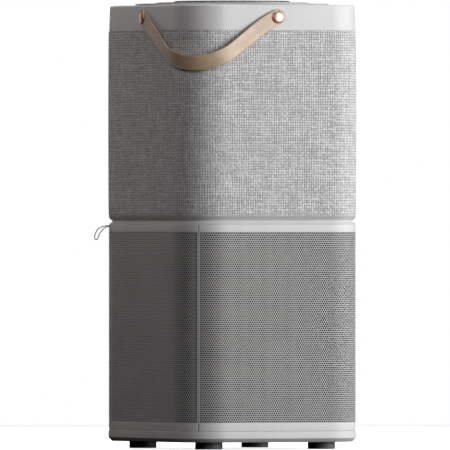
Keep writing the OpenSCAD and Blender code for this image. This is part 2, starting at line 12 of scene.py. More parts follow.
import bpy
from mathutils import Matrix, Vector

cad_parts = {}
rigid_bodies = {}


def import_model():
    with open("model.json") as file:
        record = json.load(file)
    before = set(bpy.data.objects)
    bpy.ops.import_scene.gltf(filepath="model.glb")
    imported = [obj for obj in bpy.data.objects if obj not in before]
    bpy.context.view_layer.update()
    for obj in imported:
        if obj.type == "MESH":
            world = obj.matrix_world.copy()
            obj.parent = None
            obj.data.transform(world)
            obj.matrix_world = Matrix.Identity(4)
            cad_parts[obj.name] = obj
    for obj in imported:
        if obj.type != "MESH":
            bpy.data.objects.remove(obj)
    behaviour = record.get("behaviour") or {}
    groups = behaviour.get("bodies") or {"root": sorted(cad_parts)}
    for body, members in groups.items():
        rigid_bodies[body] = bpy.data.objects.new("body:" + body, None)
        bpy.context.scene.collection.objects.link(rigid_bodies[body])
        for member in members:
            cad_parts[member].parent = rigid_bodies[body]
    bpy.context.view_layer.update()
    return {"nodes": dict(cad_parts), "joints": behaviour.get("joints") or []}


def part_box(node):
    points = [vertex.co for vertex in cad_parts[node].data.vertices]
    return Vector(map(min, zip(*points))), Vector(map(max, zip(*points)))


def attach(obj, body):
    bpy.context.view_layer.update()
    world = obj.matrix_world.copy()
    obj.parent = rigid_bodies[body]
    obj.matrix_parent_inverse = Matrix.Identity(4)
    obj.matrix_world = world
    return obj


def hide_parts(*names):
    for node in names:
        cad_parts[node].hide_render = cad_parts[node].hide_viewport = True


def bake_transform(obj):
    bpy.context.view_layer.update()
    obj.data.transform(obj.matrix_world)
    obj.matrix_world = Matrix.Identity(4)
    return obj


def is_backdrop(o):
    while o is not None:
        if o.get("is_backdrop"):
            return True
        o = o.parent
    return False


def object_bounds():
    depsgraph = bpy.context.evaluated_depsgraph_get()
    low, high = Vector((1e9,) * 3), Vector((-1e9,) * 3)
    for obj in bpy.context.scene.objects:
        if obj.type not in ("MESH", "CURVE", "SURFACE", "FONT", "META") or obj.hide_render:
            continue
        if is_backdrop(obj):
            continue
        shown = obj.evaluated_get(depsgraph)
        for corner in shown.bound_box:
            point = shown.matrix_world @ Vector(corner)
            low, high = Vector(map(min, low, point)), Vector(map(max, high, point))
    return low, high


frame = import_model()

# %% [markdown]
# ## The camera
# A very long lens from far away keeps upright and level edges parallel. The camera stands level
# with the middle of the tower and looks at the rounded corner between the door and the next side.

# %% The camera
VIEW_ANGLE = math.radians(-26)
FRAME_WIDTH = 0.5938
CAMERA_DISTANCE = 25.0
SENSOR = 36.0
SIDE_STEP = 0.0092

back = Vector((math.sin(VIEW_ANGLE), -math.cos(VIEW_ANGLE), 0))
right = Vector((math.cos(VIEW_ANGLE), math.sin(VIEW_ANGLE), 0))
target = Vector((0, 0, FRAME_WIDTH / 2 - 0.0022)) - SIDE_STEP * right

camera_data = bpy.data.cameras.new("camera")
camera_data.sensor_width = SENSOR
camera_data.lens = SENSOR * CAMERA_DISTANCE / FRAME_WIDTH
camera_data.clip_end = 3 * CAMERA_DISTANCE
camera = bpy.data.objects.new("camera", camera_data)
bpy.context.collection.objects.link(camera)
camera.location = target + CAMERA_DISTANCE * back
camera.rotation_euler = (-back).to_track_quat("-Z", "Y").to_euler()
bpy.context.scene.camera = camera

# %% [markdown]
# ## Sizes from the frame
# Every level and every outline comes from the boxes of the CAD nodes, so a change of size in
# the model moves the pieces here with it. A tower like this is one outline, a rectangle with
# round corners, drawn in or out by a small inset at each level.

# %% Levels and the outline
CORNER = 0.054
CORNER_STEPS = 24

shell_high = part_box("upper_housing")[1]
HALF_W = shell_high[0] + 0.0005
HALF_D = shell_high[1] + 0.0005
FLOOR = 0.0
BASE_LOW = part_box("base_tray")[0][2]
SKIN_LOW, SKIN_TOP = (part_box("intake_shell")[k][2] for k in (0, 1))
WAIST_LOW, WAIST_TOP = (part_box("waist_frame")[k][2] for k in (0, 1))
CLOTH_LOW, CLOTH_TOP = (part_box("fabric_cover")[k][2] for k in (0, 1))
BAND_LOW, BAND_TOP = (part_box("top_ring")[k][2] for k in (0, 1))
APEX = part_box("outlet_grille")[1][2]
FLAT_W = 2 * (HALF_W - CORNER)
FLAT_D = 2 * (HALF_D - CORNER)
ARC = CORNER * math.pi / 2
AROUND = 2 * (FLAT_W + FLAT_D) + 4 * ARC
print("half width, half depth, way round", HALF_W, HALF_D, AROUND)


def on_outline(u, inset=0.0):
    """A point and the outward direction at a distance round the tower, from the door's near end."""
    u = u % AROUND
    corners = ((-1, -1), (1, -1), (1, 1), (-1, 1))
    flats = (FLAT_W, FLAT_D, FLAT_W, FLAT_D)
    for k, ((sx, sy), flat) in enumerate(zip(corners, flats)):
        x, y = sx * (HALF_W - CORNER), sy * (HALF_D - CORNER)
        start = math.pi * (1 + k / 2)
        turn = start + min(u, ARC) / CORNER
        nx, ny = math.cos(turn), math.sin(turn)
        if u <= ARC + flat or k == 3:
            along = max(u - ARC, 0)
            px = x + (CORNER - inset) * nx - along * math.sin(turn)
            py = y + (CORNER - inset) * ny + along * math.cos(turn)
            return px, py, nx, ny
        u -= ARC + flat


def outline_steps(u0, u1, flat_step=0.02):
    """Distances that place points closely on the corners and thinly on the flats."""
    marks = [0.0]
    for flat in (FLAT_W, FLAT_D, FLAT_W, FLAT_D):
        marks += [marks[-1] + ARC / CORNER_STEPS * (i + 1) for i in range(CORNER_STEPS)]
        count = max(1, round(flat / flat_step))
        marks += [marks[-1] + flat / count * (i + 1) for i in range(count)]
    inner = [m + turn * AROUND for turn in (-1, 0, 1) for m in marks[:-1]]
    return [u0] + [m for m in inner if u0 + 1e-5 < m < u1 - 1e-5] + [u1]


# %% [markdown]
# ## Ways to make a moulding
# Most parts of the real tower are moulded or pressed to one outline, or turned about an axis.
# So two ways of making a shape cover nearly all of them: `loft` sweeps a profile round the
# outline, and `lathe` turns one about an axis. Both end in `new_mesh`, which seats the piece.

# %% Turning points and faces into a piece
def new_mesh(name, points, faces, body, material, replaces=(), slot=None, smooth=True):
    """Makes a piece from points and faces, gives it a finish and seats it on a body."""
    mesh = bpy.data.meshes.new(name)
    mesh.from_pydata([tuple(p) for p in points], [], faces)
    mesh.validate()
    piece = bpy.data.objects.new(name, mesh)
    bpy.context.collection.objects.link(piece)
    finish_piece(piece, body, material, replaces, smooth)
    return piece


def finish_piece(piece, body, material, replaces=(), smooth=True):
    if material:
        piece.data.materials.clear()
        piece.data.materials.append(material)
    if smooth:
        piece.data.shade_smooth()
        piece.data.set_sharp_from_angle(angle=math.radians(40))
    if body:
        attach(piece, body)
    if replaces:
        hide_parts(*replaces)


def ring_faces(rings, count, closed_ring, closed_profile):
    """Quads between rings of points that follow each other."""
    faces = []
    for k in range(rings if closed_ring else rings - 1):
        for i in range(count if closed_profile else count - 1):
            a, b = k, (k + 1) % rings
            c, d = i, (i + 1) % count
            faces.append((a * count + c, b * count + c, b * count + d, a * count + d))
    return faces


def loft(name, profile, body, material, u0=0.0, u1=None, soft=0.0, **rest):
    """Sweeps a closed profile of (height, inset) points round the tower, or along part of it.

    With soft, the two ends of a part turn inward by that radius."""
    whole = u1 is None
    steps = outline_steps(u0, AROUND if whole else u1)
    if whole:
        steps = steps[:-1]
    deepest = max(inset for _, inset in profile)
    if soft:
        turn = [soft * (1 - math.cos(math.pi / 2 * k / 5)) for k in range(1, 6)]
        middle = [u for u in steps if u0 + soft < u < u1 - soft]
        steps = [u0] + [u0 + d for d in turn] + middle + [u1 - d for d in turn[::-1]] + [u1]
    points = []
    for u in steps:
        near = min(u - u0, u1 - u) if soft else 1.0
        sink = soft - math.sqrt(max(0, soft**2 - (soft - near) ** 2)) if near < soft else 0.0
        for z, inset in profile:
            x, y, _, _ = on_outline(u, inset + sink * (1 - inset / deepest))
            points.append((x, y, z))
    count = len(profile)
    faces = ring_faces(len(steps), count, whole, True)
    if not whole:
        faces.append(tuple(range(count)))
        faces.append(tuple(range((len(steps) - 1) * count, len(steps) * count))[::-1])
    return new_mesh(name, points, faces, body, material, **rest)


def lathe(name, profile, body, material, centre=(0, 0, 0), axis=(0, 0, 1), steps=64, **rest):
    """Turns a profile of (radius, height) points round an axis; a radius of 0 closes it."""
    turn = Vector((0, 0, 1)).rotation_difference(Vector(axis)).to_matrix()
    points, faces, rows = [], [], []
    for radius, height in profile:
        n = 1 if radius == 0 else steps
        rows.append([len(points) + i for i in range(n)])
        for i in range(n):
            a = 2 * math.pi * i / steps
            local = Vector((radius * math.cos(a), radius * math.sin(a), height))
            points.append(Vector(centre) + turn @ local)
    for low, high in zip(rows, rows[1:]):
        for i in range(steps):
            j = (i + 1) % steps
            quad = [low[i % len(low)], low[j % len(low)], high[j % len(high)], high[i % len(high)]]
            faces.append(tuple(dict.fromkeys(quad)))
    return new_mesh(name, points, faces, body, material, **rest)


def rounded(corners, radius, steps=5):
    """Rounds the corners of a closed profile of (z, inset) or (r, z) points."""
    out = []
    count = len(corners)
    for i, here in enumerate(corners):
        here, before, after = (Vector(corners[j % count]) for j in (i, i - 1, i + 1))
        into, away = (before - here), (after - here)
        cut = min(radius, 0.45 * into.length, 0.45 * away.length)
        a, b = here + into.normalized() * cut, here + away.normalized() * cut
        for k in range(steps + 1):
            t = k / steps
            out.append(tuple((1 - t) ** 2 * a + 2 * t * (1 - t) * here + t * t * b))
    return out


# %% [markdown]
# ## A way to write shader maths
# A material is a graph of nodes. Written as Python expressions the graph reads like a formula:
# each operator on a `Value` adds one Math node, and a `Finish` makes every other kind of node.

# %% Values and finishes
class Value:
    """A shader socket that can stand in a Python expression."""

    def __init__(self, finish, socket):
        self.finish = finish
        self.socket = socket

    def maths(self, operation, *others):
        sockets = {i: v for i, v in enumerate((self, *others))}
        return self.finish.node("ShaderNodeMath", {"operation": operation}, sockets)

    def __add__(self, other):
        return self.maths("ADD", other)

    def __sub__(self, other):
        return self.maths("SUBTRACT", other)

    def __mul__(self, other):
        return self.maths("MULTIPLY", other)

    def __truediv__(self, other):
        return self.maths("DIVIDE", other)

    def __rsub__(self, other):
        return self.maths("MULTIPLY", -1.0) + other

    __radd__ = __add__
    __rmul__ = __mul__

    def sine(self):
        return self.maths("SINE")

    def absolute(self):
        return self.maths("ABSOLUTE")

    def power(self, exponent):
        return self.maths("POWER", exponent)

    def floor(self):
        return self.maths("FLOOR")

    def least(self, other):
        return self.maths("MINIMUM", other)

    def step(self, low, high):
        """Rises smoothly from 0 at low to 1 at high."""
        settings = {"interpolation_type": "SMOOTHSTEP"}
        sockets = {"Value": self, "From Min": low, "From Max": high}
        return self.finish.node("ShaderNodeMapRange", settings, sockets)


class Finish:
    """A material under construction, ended by `paint`."""

    def __init__(self, name):
        self.material = bpy.data.materials.new(name)
        self.material.use_nodes = True
        self.tree = self.material.node_tree
        self.shader = self.tree.nodes["Principled BSDF"]
        self.place = self.node("ShaderNodeTexCoord", {}, {}, "Object")

    def join(self, value, socket):
        if isinstance(value, Value):
            self.tree.links.new(value.socket, socket)
        else:
            socket.default_value = value

    def node(self, kind, settings, sockets, output=0):
        made = self.tree.nodes.new(kind)
        for key, value in settings.items():
            setattr(made, key, value)
        for key, value in sockets.items():
            self.join(value, made.inputs[key])
        return Value(self, made.outputs[output])

    def parts(self, vector):
        return [self.node("ShaderNodeSeparateXYZ", {}, {"Vector": vector}, k) for k in range(3)]

    def vector(self, x, y, z):
        return self.node("ShaderNodeCombineXYZ", {}, {"X": x, "Y": y, "Z": z})

    def noise(self, scale, detail=2.0, where=None, stretch=None):
        where = where or self.place
        if stretch:
            where = self.node("ShaderNodeMapping", {}, {"Vector": where, "Scale": stretch})
        return self.node("ShaderNodeTexNoise", {}, {"Vector": where, "Scale": scale, "Detail": detail})

    def colour_mix(self, share, first, second):
        sockets = {0: share, 6: first, 7: second}
        return self.node("ShaderNodeMix", {"data_type": "RGBA"}, sockets, 2)

    def bump(self, height, distance, strength=1.0):
        sockets = {"Height": height, "Distance": distance, "Strength": strength}
        return self.node("ShaderNodeBump", {}, sockets)

    def paint(self, **sockets):
        names = {"colour": "Base Color", "roughness": "Roughness", "metallic": "Metallic",
                 "normal": "Normal", "glow": "Emission Color"}
        for key, value in sockets.items():
            self.join(value, self.shader.inputs[names[key]])
        return self.material


def grey(level, warm=0.0):
    """A slightly warm grey as red, green, blue, alpha."""
    return (level * (1 + warm), level, level * (1 - warm), 1.0)


# %% [markdown]
# ## Moulded and painted surfaces
# Satin plastic and powder coat are one colour to the eye. What makes them real up close is a
# fine grain that breaks the highlight, and faint large patches where the gloss differs.

# %% Plain finishes
def moulded(name, colour, roughness, grain=0.00002, grain_scale=900.0, metallic=0.0):
    """Moulded plastic, paint or plain metal: grain in the surface and a faint drift of gloss."""
    f = Finish(name)
    fine = f.noise(grain_scale, 3.0)
    patches = f.noise(14.0, 2.0)
    darker = tuple(0.93 * c for c in colour[:3]) + (1.0,)
    tint = f.colour_mix(patches.step(0.3, 0.7), darker, colour)
    gloss = patches * 0.08 + (roughness - 0.04)
    return f.paint(colour=tint, roughness=gloss, metallic=metallic, normal=f.bump(fine, grain))


PALE = (0.600, 0.598, 0.602, 1.0)
light_plastic = moulded("satin_plastic", PALE, 0.5)
sheet_paint = moulded("powder_coat", PALE, 0.52, grain=0.00003)
mid_plastic = moulded("mid_grey_plastic", grey(0.20, 0.02), 0.55)
dark_plastic = moulded("charcoal_plastic", grey(0.045, 0.03), 0.45)
grille_plastic = moulded("grille_plastic", grey(0.46, 0.01), 0.45)
# painted shade: near-black for the sheet behind the holes, standing for the dark inside the tower
painted_shade_black = moulded("inside_black", grey(0.012), 0.8)
white_plastic = moulded("fan_white_plastic", grey(0.70, 0.02), 0.4)
steel = moulded("plain_steel", grey(0.55, 0.01), 0.32, metallic=1.0)
gloss_black = moulded("touch_glass", grey(0.012), 0.1, grain=0.0)
button_plastic = moulded("button_plastic", grey(0.5, 0.02), 0.25)
copper_wire = moulded("copper_winding", (0.55, 0.25, 0.12, 1.0), 0.4, 0.0001, 300.0, 1.0)
board_green = moulded("solder_mask", (0.02, 0.10, 0.045, 1.0), 0.35)
rubber = moulded("rubber", grey(0.16, 0.03), 0.5, grain=0.00004)
foam = moulded("seal_foam", grey(0.06), 0.9, grain=0.0004, grain_scale=700.0)
carbon = moulded("carbon_felt", grey(0.015), 0.95, grain=0.0005, grain_scale=500.0)
paper = moulded("filter_paper", (0.78, 0.76, 0.70, 1.0), 0.85, grain=0.00006)
tape = moulded("woven_tape", grey(0.24, 0.02), 0.8, grain=0.00012, grain_scale=1100.0)
hem_cloth = moulded("hem_cloth", grey(0.40, 0.0), 0.85, grain=0.00008)

# %% [markdown]
# ## The woven sleeve's finish
# The cloth is a plain weave of uneven yarns. Each yarn has its own tone, drawn from noise that
# is stretched along it. Painted shade darkens the gaps between the yarns and the small hole where
# four yarns meet. The pattern follows the cloth's own coordinates, so it goes round the corners
# with the cloth.

# %% Woven cloth
YARN = 0.0034


def woven_cloth():
    f = Finish("woven_melange")
    cloth = f.node("ShaderNodeUVMap", {"uv_map": "cloth"}, {})
    sway = f.noise(22.0, 2.0, cloth) - 0.5
    u, v, _ = f.parts(cloth)
    across, up = u / YARN + sway * 0.7, v / YARN + sway * 0.7

    def chance(x, y):
        sockets = {"Vector": f.vector(x.floor(), y.floor(), 0.0)}
        return f.node("ShaderNodeTexWhiteNoise", {"noise_dimensions": "2D"}, sockets)

    warp_shade = f.noise(1.0, 3.0, f.vector(across.floor() * 7.3, up * 0.11, 0.0))
    weft_shade = f.noise(1.0, 3.0, f.vector(across * 0.11, up.floor() * 7.3, 5.0))
    warp_gap = 1 - (across * math.pi).sine().absolute()
    weft_gap = 1 - (up * math.pi).sine().absolute()
    luck = chance(across + 0.5, up + 0.5)
    # painted shade: dark dots where four yarns meet and dark lines in the gaps between the yarns
    painted_hole_shade = (warp_gap.power(1.2) * weft_gap.power(0.8)) * (luck * 1.3 + 0.35)
    painted_gap_shade = warp_gap.power(3.0) * (warp_shade * 0.9) + weft_gap.power(3.0) * (weft_shade * 0.6)
    painted_shade_and_depth = (painted_hole_shade * 1.25 + painted_gap_shade * 0.5).least(1.0)
    checks = ((across.floor() + up.floor()) * (math.pi / 2)).sine().absolute()
    shade = checks * warp_shade + (1 - checks) * weft_shade
    light = f.colour_mix(shade.step(0.3, 0.7), grey(0.44, -0.008), grey(0.70, -0.006))
    # the painted shade is mixed in as near-black, and the same mask lowers the bump in the gaps
    tone = f.colour_mix(painted_shade_and_depth, light, grey(0.055, -0.03))
    fuzz = f.noise(1500.0, 2.0)
    height = (1 - painted_shade_and_depth) + fuzz * 0.5
    f.shader.inputs["Sheen Weight"].default_value = 0.15
    f.shader.inputs["Sheen Roughness"].default_value = 0.6
    return f.paint(colour=tone, roughness=0.92, normal=f.bump(height, 0.0003, 0.7))


cloth_finish = woven_cloth()

# %% [markdown]
# ## Leather and rose copper
# Leather is tan with soft darker clouds, and tiny creases that come from a cell pattern. Its
# cut edges are burnished darker. The copper rivets are polished, with faint hairlines.

# %% Leather and copper
def tanned_leather():
    f = Finish("tan_leather")
    f.shader.inputs["Specular IOR Level"].default_value = 0.75
    strap = f.node("ShaderNodeUVMap", {"uv_map": "strap"}, {})
    _, v, _ = f.parts(strap)
    clouds = f.noise(45.0, 4.0)
    cells = f.node(
        "ShaderNodeTexVoronoi", {"feature": "DISTANCE_TO_EDGE"}, {"Vector": f.place, "Scale": 900.0}
    )
    pores = f.noise(2600.0, 2.0)
    edge = (v - 0.5).absolute().step(0.44, 0.49)
    face = f.colour_mix(clouds.step(0.3, 0.7), (0.41, 0.288, 0.190, 1), (0.52, 0.386, 0.262, 1))
    tone = f.colour_mix(edge * 0.75, face, (0.30, 0.19, 0.125, 1))
    height = cells.step(0.0, 0.25) + pores * 0.4
    return f.paint(colour=tone, roughness=0.42, normal=f.bump(height, 0.00006))


def rose_copper_finish():
    f = Finish("rose_copper")
    hairs = f.noise(900.0, 2.0, stretch=(1.0, 1.0, 0.05))
    tone = f.colour_mix(f.noise(60.0), (0.60, 0.36, 0.27, 1), (0.68, 0.43, 0.33, 1))
    return f.paint(colour=tone, roughness=hairs * 0.1 + 0.36, metallic=0.9,
                   normal=f.bump(hairs, 0.00001))


leather = tanned_leather()
rose_copper = rose_copper_finish()

# %% [markdown]
# ## The perforated skin
# The intake is a thin painted sheet with tens of thousands of small holes in staggered rows.
# Each hole is real geometry: one six-sided cell with a hole and its wall, repeated by Geometry
# Nodes along the outline. Cells meet edge to edge like a honeycomb, so no cutting is needed.

# %% The hole pattern's sizes
HOLE_PITCH = 0.00318
ROW_PITCH = 0.002717
HOLE_SHARE = 0.785
HOLE_DEPTH = 0.0007
BAND_ABOVE = 0.0108
BAND_BELOW = 0.0113
SEAM_MARGIN = 0.0010
SKIN_WALL = 0.0025

HINGE = next(j for j in frame["joints"] if j["name"] == "door_swing")["pos_m"]
KNUCKLE = 0.015
GAP = 0.0006


def seam_near(radius):
    """Distance round the outline at which a circle about the hinge meets the skin."""
    cx, cy = -(HALF_W - CORNER), -(HALF_D - CORNER)
    reach = math.hypot(HINGE[0] - cx, HINGE[1] - cy)
    hinge_turn = math.atan2(HINGE[1] - cy, HINGE[0] - cx) + 2 * math.pi
    opening = math.acos((CORNER**2 + reach**2 - radius**2) / (2 * CORNER * reach))
    return CORNER * (hinge_turn + opening - math.pi)


SEAM_POLAR = math.radians(131)
door_far = AROUND - FLAT_D - CORNER * (math.pi - SEAM_POLAR) - AROUND
door_near = seam_near(KNUCKLE)
fixed_near = seam_near(KNUCKLE + GAP)
fixed_far = door_far + AROUND - GAP
print("door", door_far, door_near, "fixed", fixed_near, fixed_far)


# %% [markdown]
# ## A way to write Geometry Nodes
# The holes and the fins are one shape repeated many times, which is what Geometry Nodes do
# best. A `Tree` builds such a graph with named inputs, runs it and keeps a plain mesh.

# %% Geometry Nodes helpers
class Tree:
    """A Geometry Nodes tree under construction, with named inputs."""

    def __init__(self, name, **inputs):
        self.group = bpy.data.node_groups.new(name, "GeometryNodeTree")
        face = self.group.interface
        face.new_socket("Geometry", in_out="INPUT", socket_type="NodeSocketGeometry")
        face.new_socket("Geometry", in_out="OUTPUT", socket_type="NodeSocketGeometry")
        self.ids = {}
        for key, value in inputs.items():
            kind = "NodeSocketInt" if isinstance(value, int) else "NodeSocketFloat"
            self.ids[key] = face.new_socket(key, in_out="INPUT", socket_type=kind).identifier
        self.values = inputs
        self.start = self.group.nodes.new("NodeGroupInput")
        self.end = self.group.nodes.new("NodeGroupOutput")

    def given(self, key):
        return self.start.outputs[key]

    def add(self, kind, sockets, output=0, **settings):
        made = self.group.nodes.new(kind)
        for key, value in settings.items():
            setattr(made, key, value)
        for key, value in sockets.items():
            if isinstance(value, bpy.types.NodeSocket):
                self.group.links.new(value, made.inputs[key])
            else:
                made.inputs[key].default_value = value
        return made.outputs[output]

    def maths(self, operation, *values):
        return self.add("ShaderNodeMath", dict(enumerate(values)), operation=operation)

    def apply(self, piece, material):
        """Ends the tree, runs it on a piece and keeps the result as a plain mesh."""
        last = self.add("GeometryNodeRealizeInstances", {"Geometry": self.result})
        last = self.add("GeometryNodeSetMaterial", {"Geometry": last, "Material": material})
        self.group.links.new(last, self.end.inputs[0])
        modifier = piece.modifiers.new(self.group.name, "NODES")
        modifier.node_group = self.group
        for key, value in self.values.items():
            modifier[self.ids[key]] = value
        seen = piece.evaluated_get(bpy.context.evaluated_depsgraph_get())
        mesh = bpy.data.meshes.new_from_object(seen)
        piece.modifiers.clear()
        piece.data = mesh
        return piece


def outline_wire(name, u0, u1):
    """A line of edges along the outline, which a tree can walk along."""
    steps = outline_steps(u0, u1)
    mesh = bpy.data.meshes.new(name)
    points = [on_outline(u)[:2] + (0.0,) for u in steps]
    mesh.from_pydata(points, [(i, i + 1) for i in range(len(points) - 1)], [])
    wire = bpy.data.objects.new(name, mesh)
    bpy.context.collection.objects.link(wire)
    return wire


# %% [markdown]
# ## The holes
# A press punches the real sheet in staggered rows. Here one cell stands for one hole, and it is
# repeated by column and row: a point's number gives its column and row, and the outline gives
# its place and direction. Cells at the mains inlet are left out, because a window is cut there.

# %% One cell, repeated along the outline
INLET_MID = (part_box("mains_inlet")[0][2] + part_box("mains_inlet")[1][2]) / 2
INLET_CLEAR = (0.0175, 0.0135)


def hole_cell(tree, pitch):
    """A honeycomb cell with a hole and the hole's wall, facing +Z."""
    flat = tree.add("GeometryNodeMeshCircle", {"Vertices": 6, "Radius": 1.0}, fill_type="NGON")
    turned = tree.add("GeometryNodeTransform", {"Geometry": flat, "Rotation": (0, 0, math.radians(30))})
    side = (ROW_PITCH**2 - pitch**2 / 4) / (2 * ROW_PITCH)
    wide = pitch / 2 / math.cos(math.radians(30))
    tall = ROW_PITCH - side
    sized = tree.add("GeometryNodeTransform", {"Geometry": turned, "Scale": (wide, tall, 1)})
    rim = tree.add("GeometryNodeExtrudeMesh", {"Mesh": sized, "Offset Scale": 0.0})
    inner = rim.node.outputs["Top"]
    shrunk = tree.add(
        "GeometryNodeScaleElements", {"Geometry": rim, "Selection": inner, "Scale": HOLE_SHARE}
    )
    wall = tree.add(
        "GeometryNodeExtrudeMesh",
        {"Mesh": shrunk, "Selection": inner, "Offset Scale": -HOLE_DEPTH},
    )
    end = wall.node.outputs["Top"]
    return tree.add("GeometryNodeDeleteGeometry", {"Geometry": wall, "Selection": end}, domain="FACE")


def perforated(name, u0, count, pitch, body, material):
    """A stretch of the perforated sheet between two distances round the outline."""
    low = SKIN_LOW + BAND_BELOW + ROW_PITCH / 2
    rows = int((SKIN_TOP - BAND_ABOVE - low) / ROW_PITCH) + 1
    tree = Tree(name, Columns=count, Rows=rows, Pitch=pitch, RowPitch=ROW_PITCH, Low=low)
    wire = tree.add("GeometryNodeMeshToCurve", {"Mesh": tree.given("Geometry")})
    grid = tree.add(
        "GeometryNodeMeshGrid",
        {"Size X": 1.0, "Size Y": 1.0, "Vertices X": tree.given("Columns"), "Vertices Y": tree.given("Rows")},
    )
    index = tree.add("GeometryNodeInputIndex", {})
    column = tree.maths("FLOOR", tree.maths("DIVIDE", index, tree.given("Rows")))
    row = tree.maths("MODULO", index, tree.given("Rows"))
    odd = tree.maths("MODULO", row, 2.0)
    shift = tree.maths("MULTIPLY_ADD", odd, 0.5, 0.5)
    along = tree.maths("MULTIPLY", tree.maths("ADD", column, shift), tree.given("Pitch"))
    height = tree.maths("MULTIPLY_ADD", row, tree.given("RowPitch"), tree.given("Low"))
    spot = tree.add("GeometryNodeSampleCurve", {"Curves": wire, "Length": along}, "Position",
                    mode="LENGTH", use_all_curves=True)
    way = spot.node.outputs["Tangent"]
    lifted = tree.add("ShaderNodeVectorMath", {0: spot, 1: tree.add("ShaderNodeCombineXYZ", {"Z": height})},
                      operation="ADD")
    outward = tree.add("ShaderNodeVectorMath", {0: way, 1: (0, 0, 1)}, operation="CROSS_PRODUCT")
    turn = tree.add("FunctionNodeAxesToRotation", {"Primary Axis": outward, "Secondary Axis": way},
                    primary_axis="Z", secondary_axis="X")
    placed = tree.add("GeometryNodeSetPosition", {"Geometry": grid, "Position": lifted})
    part = tree.add("ShaderNodeSeparateXYZ", {"Vector": lifted}).node.outputs
    at_inlet = tree.maths("LESS_THAN", tree.maths("ABSOLUTE", part["Y"]), INLET_CLEAR[0])
    at_inlet = tree.maths("MULTIPLY", at_inlet, tree.maths("COMPARE", part["Z"], INLET_MID, INLET_CLEAR[1]))
    at_inlet = tree.maths("MULTIPLY", at_inlet, tree.maths("GREATER_THAN", part["X"], 0.0))
    tree.result = tree.add(
        "GeometryNodeInstanceOnPoints",
        {"Points": placed, "Instance": hole_cell(tree, pitch), "Rotation": turn,
         "Selection": tree.maths("SUBTRACT", 1.0, at_inlet)},
    )
    piece = tree.apply(outline_wire(name, u0, u0 + (count + 0.02) * pitch), material)
    finish_piece(piece, body, None, smooth=False)
    print(name, "cells", count * rows, "faces", len(piece.data.polygons))
    return piece


def skin_border(name, u0, u1, body, material, **rest):
    """The plain sheet round the holes: bands above and below, and a strip at each end."""
    low = SKIN_LOW + BAND_BELOW
    rows = int((SKIN_TOP - BAND_ABOVE - low - ROW_PITCH / 2) / ROW_PITCH) + 1
    high = low + rows * ROW_PITCH
    under = 0.00004
    edge = 0.0006
    bands = []
    for z0, z1 in ((SKIN_LOW, low), (high, SKIN_TOP)):
        profile = rounded([(z0, 0.0), (z1, 0.0), (z1, SKIN_WALL), (z0, SKIN_WALL)], edge)
        bands.append(loft(f"{name}_band_{len(bands)}", profile, body, material, u0, u1, edge))
    ends = []
    inset = SEAM_MARGIN + (1 - HOLE_SHARE) / 2 * HOLE_PITCH
    for a, b in ((u0, u0 + inset), (u1 - inset, u1)):
        bottom, top = low - edge, high + edge
        profile = [(bottom, under), (top, under), (top, SKIN_WALL), (bottom, SKIN_WALL)]
        ends.append(loft(f"{name}_end_{len(ends)}", profile, body, material, a, b, 0.0004))
    return join(name, bands + ends, body, **rest)


def join(name, pieces, body, replaces=(), slot=None):
    """Makes one piece of several that share a finish."""
    first = pieces[0]
    with bpy.context.temp_override(active_object=first, selected_editable_objects=pieces):
        bpy.ops.object.join()
    first.name = name
    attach(first, body)
    if replaces:
        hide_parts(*replaces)
    return first


# %% [markdown]
# ## The intake's skin and the door
# The fixed shell goes round three sides. The door is the fourth, with its own half of two
# corners, and its near edge is round about the hinge so that it can turn past the shell.

# %% Skin and door
def skin_with_holes(name, u0, u1, body, parts, **rest):
    """The border and the perforated stretches of one skin, split so that each stays light."""
    skin_border(f"{name}_border", u0, u1, body, sheet_paint, **rest)
    start, end = u0 + SEAM_MARGIN, u1 - SEAM_MARGIN
    columns = round((end - start) / HOLE_PITCH - 0.5)
    pitch = (end - start) / (columns + 0.5)
    done = 0
    for k in range(parts):
        upto = columns * (k + 1) // parts
        a = start + done * pitch
        perforated(f"{name}_holes_{k + 1}", a, upto - done, pitch, body, sheet_paint)
        done = upto


skin_with_holes("fixed_skin", fixed_near, fixed_far, "root", 4,
                replaces=["intake_shell"], slot="painted_sheet")
skin_with_holes("door_panel", door_far, door_near, "door", 2,
                replaces=["door_skin"], slot="painted_sheet")


def shade_sheet(name, u0, u1, body, low=SKIN_LOW + 0.002, high=SKIN_TOP - 0.002, **rest):
    """A dark sheet behind the holes: painted shade that stands for the dark inside and hides it."""
    front, behind = 0.0022, 0.0028
    profile = [(low, front), (high, front), (high, behind), (low, behind)]
    return loft(name, profile, body, painted_shade_black, u0, u1, **rest)


inlet_from, inlet_to = (2 * ARC + FLAT_W + FLAT_D / 2 + side * 0.0165 for side in (-1, 1))
# painted shade: a dark sheet behind the fixed skin's holes, in four parts round the inlet
join("fixed_liner", [
    shade_sheet("liner_near", fixed_near + 0.002, inlet_from, "root"),
    shade_sheet("liner_far", inlet_to, fixed_far - 0.002, "root"),
    shade_sheet("liner_under", inlet_from, inlet_to, "root", high=INLET_MID - 0.0125),
    shade_sheet("liner_over", inlet_from, inlet_to, "root", low=INLET_MID + 0.0125),
], "root", slot="filter_mesh")
# painted shade: a dark sheet behind the door's holes
shade_sheet("door_liner", door_far + 0.002, door_near - 0.002, "door", slot="filter_mesh")

# %% [markdown]
# ## The inlet's surround
# The mains inlet sits in a window of the fixed shell. A moulded rim covers the cut holes round
# it, so the perforation ends cleanly.

# %% Inlet surround
def rounded_box(half_y, half_z, radius, x, steps=6):
    """Points round a rectangle with round corners, on the shell's right side."""
    corners = ((1, 1, 0), (-1, 1, 90), (-1, -1, 180), (1, -1, 270))
    turns = [(sy, sz, math.radians(start + 90 * k / steps))
             for sy, sz, start in corners for k in range(steps + 1)]
    return [(x, sy * (half_y - radius) + radius * math.cos(turn),
             INLET_MID + sz * (half_z - radius) + radius * math.sin(turn)) for sy, sz, turn in turns]


